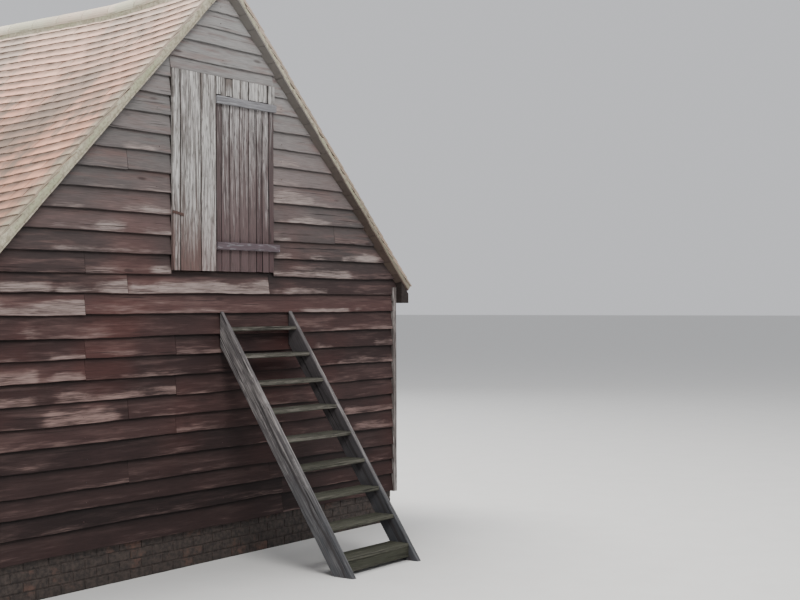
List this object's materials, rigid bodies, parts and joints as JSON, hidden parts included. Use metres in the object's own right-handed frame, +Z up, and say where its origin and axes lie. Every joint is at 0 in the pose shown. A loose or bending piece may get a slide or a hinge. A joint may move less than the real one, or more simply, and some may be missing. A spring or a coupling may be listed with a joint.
{
  "type": "oast house stowage building",
  "caption": "Weatherboarded timber-framed oast stowage with a steep plain-tiled roof, tilted verges, a boarded loft loading door and open-tread steps.",
  "frame": {"origin": "ground level, in the middle of the front gable's wall: the point of the flat face mount named base", "axes": "+X across the front gable to the right, +Y back along the ridge, +Z up"},
  "size_m": [5.135, 9.8831, 4.8269],
  "materials": {
    "tarred_brick": "brickwork painted with black tar, worn",
    "frame_oak": "sawn and hewn oak, dry and dull",
    "floor_boards": "worn floor boards",
    "roof_tiles": "handmade plain clay tiles, weathered",
    "verge_mortar": "pale lime mortar with lichen",
    "ridge_tiles": "half round clay ridge tiles with lichen",
    "tarred_boards": "tarred weatherboards, worn to grey wood in patches",
    "corner_wood": "weathered grey softwood",
    "door_boards": "weathered silver grey boards",
    "door_rails": "blue grey weathered wood",
    "step_wood": "blue grey weathered wood with splits",
    "tread_wood": "green brown worn boards"
  },
  "bodies": {
    "root": {"plinth_ends": "tarred_brick", "plinth_sides": "tarred_brick", "sole_plates": "frame_oak", "end_sole_plates": "frame_oak", "corner_posts": "frame_oak", "side_posts": "frame_oak", "side_studs": "frame_oak", "front_studs": "frame_oak", "back_studs": "frame_oak", "wall_plates": "frame_oak", "tie_beams": "frame_oak", "floor_joists": "frame_oak", "loft_floor": "floor_boards", "front_gable_studs": "frame_oak", "back_gable_studs": "frame_oak", "rafters_left": "frame_oak", "rafters_right": "frame_oak", "collars": "frame_oak", "purlins": "frame_oak", "ridge_board": "frame_oak", "verge_packers": "frame_oak", "roof_left": "roof_tiles", "roof_right": "roof_tiles", "front_verge": "verge_mortar", "back_verge": "verge_mortar", "ridge_tiles": "ridge_tiles", "soffit_boards": "tarred_boards", "front_wall_lower": "tarred_boards", "front_wall_left": "tarred_boards", "front_wall_right": "tarred_boards", "front_wall_top": "tarred_boards", "back_wall": "tarred_boards", "left_wall": "tarred_boards", "right_wall": "tarred_boards", "corner_boards": "corner_wood", "fixed_leaf": "door_boards", "door_header": "door_boards", "hung_leaf": "door_boards", "upper_rail": "door_rails", "lower_rail": "door_rails", "door_posts": "tarred_boards", "left_string": "step_wood", "right_string": "step_wood", "treads": "tread_wood", "foot_board": "tread_wood"}
  },
  "joints": []
}
